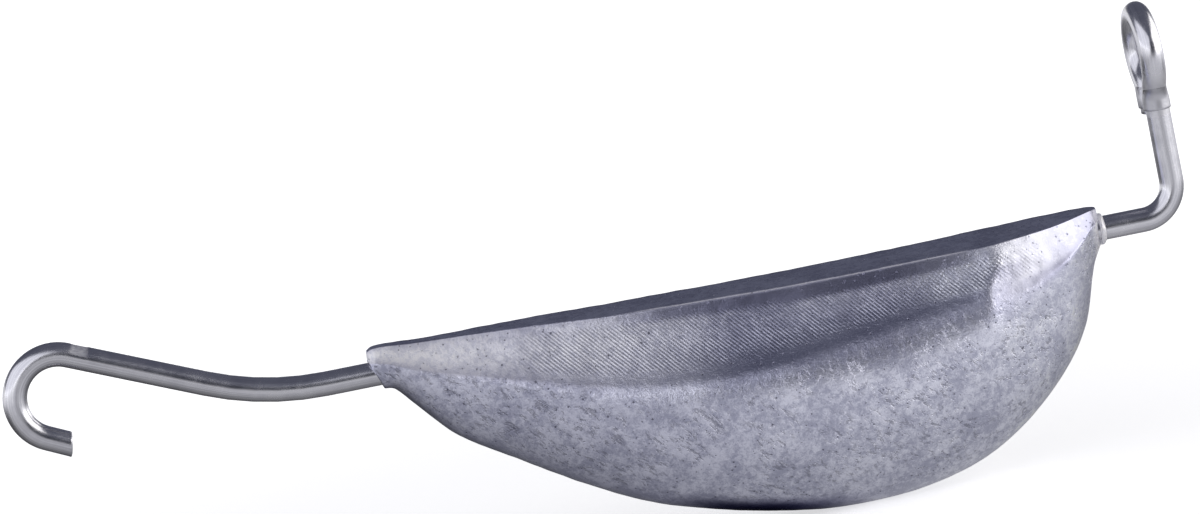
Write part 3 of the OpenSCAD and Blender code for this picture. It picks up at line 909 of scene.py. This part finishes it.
def makeFloorMaterial():
    # plain pale floor that keeps the shadow; to mirror rays it glows instead at a painted level: painted
    # shade below the casting, a painted shadow where the keel touches it, and white far off but for a
    # darker wedge in front
    material, tree, shader = newMaterial("pale_floor")
    tone = studio["floorTone"]
    shader.inputs["Base Color"].default_value = (tone, tone, tone, 1)
    shader.inputs["Roughness"].default_value = 0.9
    place = addNode(tree, "ShaderNodeTexCoord").outputs["Object"]
    centre = {0: place, 1: (middle.x, middle.y, cadBox[0].z)}
    away = addNode(tree, "ShaderNodeVectorMath", centre, operation="SUBTRACT").outputs[0]
    distance = addNode(tree, "ShaderNodeVectorMath", {0: away}, operation="LENGTH").outputs["Value"]
    heading = addNode(tree, "ShaderNodeVectorMath", {0: away}, operation="NORMALIZE").outputs[0]
    path = addNode(tree, "ShaderNodeLightPath").outputs
    glow = studio["floorGlow"]
    seen = remap(tree, distance, glow["start"], glow["end"], glow["near"], glow["far"])
    seen = times(tree, path["Is Camera Ray"], seen)
    seenGlow = addNode(tree, "ShaderNodeEmission", {"Strength": seen}).outputs[0]
    plain = addNode(tree, "ShaderNodeAddShader", {0: shader.outputs[0], 1: seenGlow}).outputs[0]
    m = studio["mirrored"]
    across, deep, _ = addNode(tree, "ShaderNodeSeparateXYZ", {"Vector": away}).outputs
    level = doMath(tree, "ADD", remap(tree, deep, *m["deep"], m["front"], m["back"]),
                   remap(tree, across, *m["across"], 0, m["rightMore"]))
    far = remap(tree, distance, m["start"], m["end"])
    missing = doMath(tree, "SUBTRACT", 1.0, level)
    level = doMath(tree, "ADD", level, times(tree, far, missing))
    ahead = {0: heading, 1: towards(m["wedgeTurn"], 0)}
    forward = addNode(tree, "ShaderNodeVectorMath", ahead, operation="DOT_PRODUCT").outputs["Value"]
    wedge = times(tree, far, remap(tree, forward, *m["wedgeSpan"]))
    # painted shadow under the keel, seen only by mirror rays
    touch = studio["paintedContactShadow"]
    aside = times(tree, doMath(tree, "SUBTRACT", across, touch["right"]), touch["squash"])
    beneath = addNode(tree, "ShaderNodeCombineXYZ", {0: aside, 1: deep}).outputs[0]
    beneath = addNode(tree, "ShaderNodeVectorMath", {0: beneath}, operation="LENGTH").outputs["Value"]
    paintedContactLevel = remap(tree, beneath, touch["start"], touch["end"], touch["level"], 1)
    level = times(tree, level, paintedContactLevel)
    level = times(tree, level, remap(tree, wedge, 0, 1, 1, m["wedge"]))
    # the floor glows to mirror rays at this painted level
    paintedMirrorGlowSockets = {"Color": m["tint"], "Strength": level}
    paintedMirrorGlow = addNode(tree, "ShaderNodeEmission", paintedMirrorGlowSockets).outputs[0]
    mirrored = doMath(tree, "MAXIMUM", path["Is Glossy Ray"], path["Is Transmission Ray"])
    mix = addNode(tree, "ShaderNodeMixShader", {0: mirrored, 1: plain, 2: paintedMirrorGlow}).outputs[0]
    tree.links.new(mix, tree.nodes["Material Output"].inputs["Surface"])
    return material


def makePlainMaterial(name, tone, glow=None):
    material, tree, shader = newMaterial(name)
    shader.inputs["Base Color"].default_value = tone
    shader.inputs["Roughness"].default_value = 1.0
    if glow:
        shader.inputs["Emission Color"].default_value = glow
        shader.inputs["Emission Strength"].default_value = 1.0
    return material


def addStage(bm, name, material):
    mesh = bpy.data.meshes.new(name)
    bm.to_mesh(mesh)
    bm.free()
    mesh.materials.append(material)
    stageObject = bpy.data.objects.new(name, mesh)
    bpy.context.scene.collection.objects.link(stageObject)
    return stageObject


def buildFloor():
    bm = bmesh.new()
    level = Matrix.Translation((middle.x, middle.y, cadBox[0].z))
    bmesh.ops.create_grid(bm, x_segments=1, y_segments=1, size=studio["floorSize"] / 2, matrix=level)
    addStage(bm, "floor", makeFloorMaterial())


def buildCanopy():
    bm = bmesh.new()
    bmesh.ops.create_uvsphere(bm, u_segments=48, v_segments=36, radius=studio["canopyRadius"],
                              matrix=Matrix.Translation(middle))
    rim = middle + Vector((0, 0, studio["canopyRadius"] * math.sin(math.radians(studio["canopyRim"]))))
    bmesh.ops.bisect_plane(bm, geom=bm.verts[:] + bm.edges[:] + bm.faces[:], plane_co=rim,
                           plane_no=(0, 0, -1), clear_outer=True)
    glow = makePlainMaterial("dim_canopy", (0, 0, 0, 1), studio["canopyGlow"])
    canopy = addStage(bm, "canopy", glow)
    canopy.visible_camera = False


def buildCard():
    c = studio["card"]
    place = middle + towards(c["azimuth"], c["elevation"]) * c["distance"]
    bm = bmesh.new()
    shape = Matrix.Diagonal((c["width"], c["height"], 1, 1))
    bmesh.ops.create_grid(bm, x_segments=1, y_segments=1, size=0.5,
                          matrix=Matrix.Translation(place) @ facing(place) @ shape)
    card = addStage(bm, "front_card", makePlainMaterial("dark_card", studio["cardTone"]))
    card.visible_camera = False


def addLamp(name, azimuth, elevation, width, height, radiance, tint):
    # radiance is how bright the lamp's face looks
    data = bpy.data.lights.new(name, "AREA")
    data.shape = "RECTANGLE"
    data.size = width
    data.size_y = height
    data.energy = radiance * math.pi * width * height
    data.color = tint
    lamp = bpy.data.objects.new(name, data)
    bpy.context.scene.collection.objects.link(lamp)
    place = middle + towards(azimuth, elevation) * studio["lampDistance"]
    lamp.matrix_world = Matrix.Translation(place) @ facing(place)
    lamp.visible_camera = False


def buildWorld():
    # white for camera, glossy and transmission rays, dimmer as a light
    world = bpy.data.worlds.new("studio_white")
    bpy.context.scene.world = world
    world.use_nodes = True
    tree = world.node_tree
    background = tree.nodes["Background"]
    background.inputs["Color"].default_value = (1, 1, 1, 1)
    path = addNode(tree, "ShaderNodeLightPath").outputs
    seen = doMath(tree, "MAXIMUM", path["Is Camera Ray"], path["Is Glossy Ray"])
    seen = doMath(tree, "MAXIMUM", seen, path["Is Transmission Ray"])
    tree.links.new(remap(tree, seen, 0, 1, studio["worldLight"], 1), background.inputs["Strength"])


buildFloor()
buildCanopy()
buildCard()
buildWorld()
for side, lamp in studio["lamps"].items():
    addLamp("lamp_" + side, **lamp)
print("studio built")


# Camera: the photograph's angle, with its roll and framing

view = {
    "azimuth": -6.9086,
    "elevation": 8.5652,
    "roll": 10.2443,
    "lens": 250,
    "distance": 0.5035,
    "rightOfTail": 14.9285,
    "aboveTail": 3.1823,
}


def placeCamera():
    a, e, r = (math.radians(view[key]) for key in ("azimuth", "elevation", "roll"))
    right = Vector((math.cos(a), math.sin(a), 0))
    look = Vector((-math.sin(a) * math.cos(e), math.cos(a) * math.cos(e), -math.sin(e)))
    up = right.cross(look)
    target = tailPoint + right * view["rightOfTail"] * mm + up * view["aboveTail"] * mm
    rightTurned = right * math.cos(r) - up * math.sin(r)
    upTurned = up * math.cos(r) + right * math.sin(r)
    data = bpy.data.cameras.new("camera")
    data.lens = view["lens"]
    data.sensor_width = 36
    data.clip_start = 0.01
    camera = bpy.data.objects.new("camera", data)
    bpy.context.scene.collection.objects.link(camera)
    turn = Matrix((rightTurned, upTurned, -look)).transposed().to_4x4()
    camera.matrix_world = Matrix.Translation(target - look * view["distance"]) @ turn
    bpy.context.scene.camera = camera


placeCamera()
bpy.context.scene.view_settings.view_transform = "Standard"
bpy.context.view_layer.update()
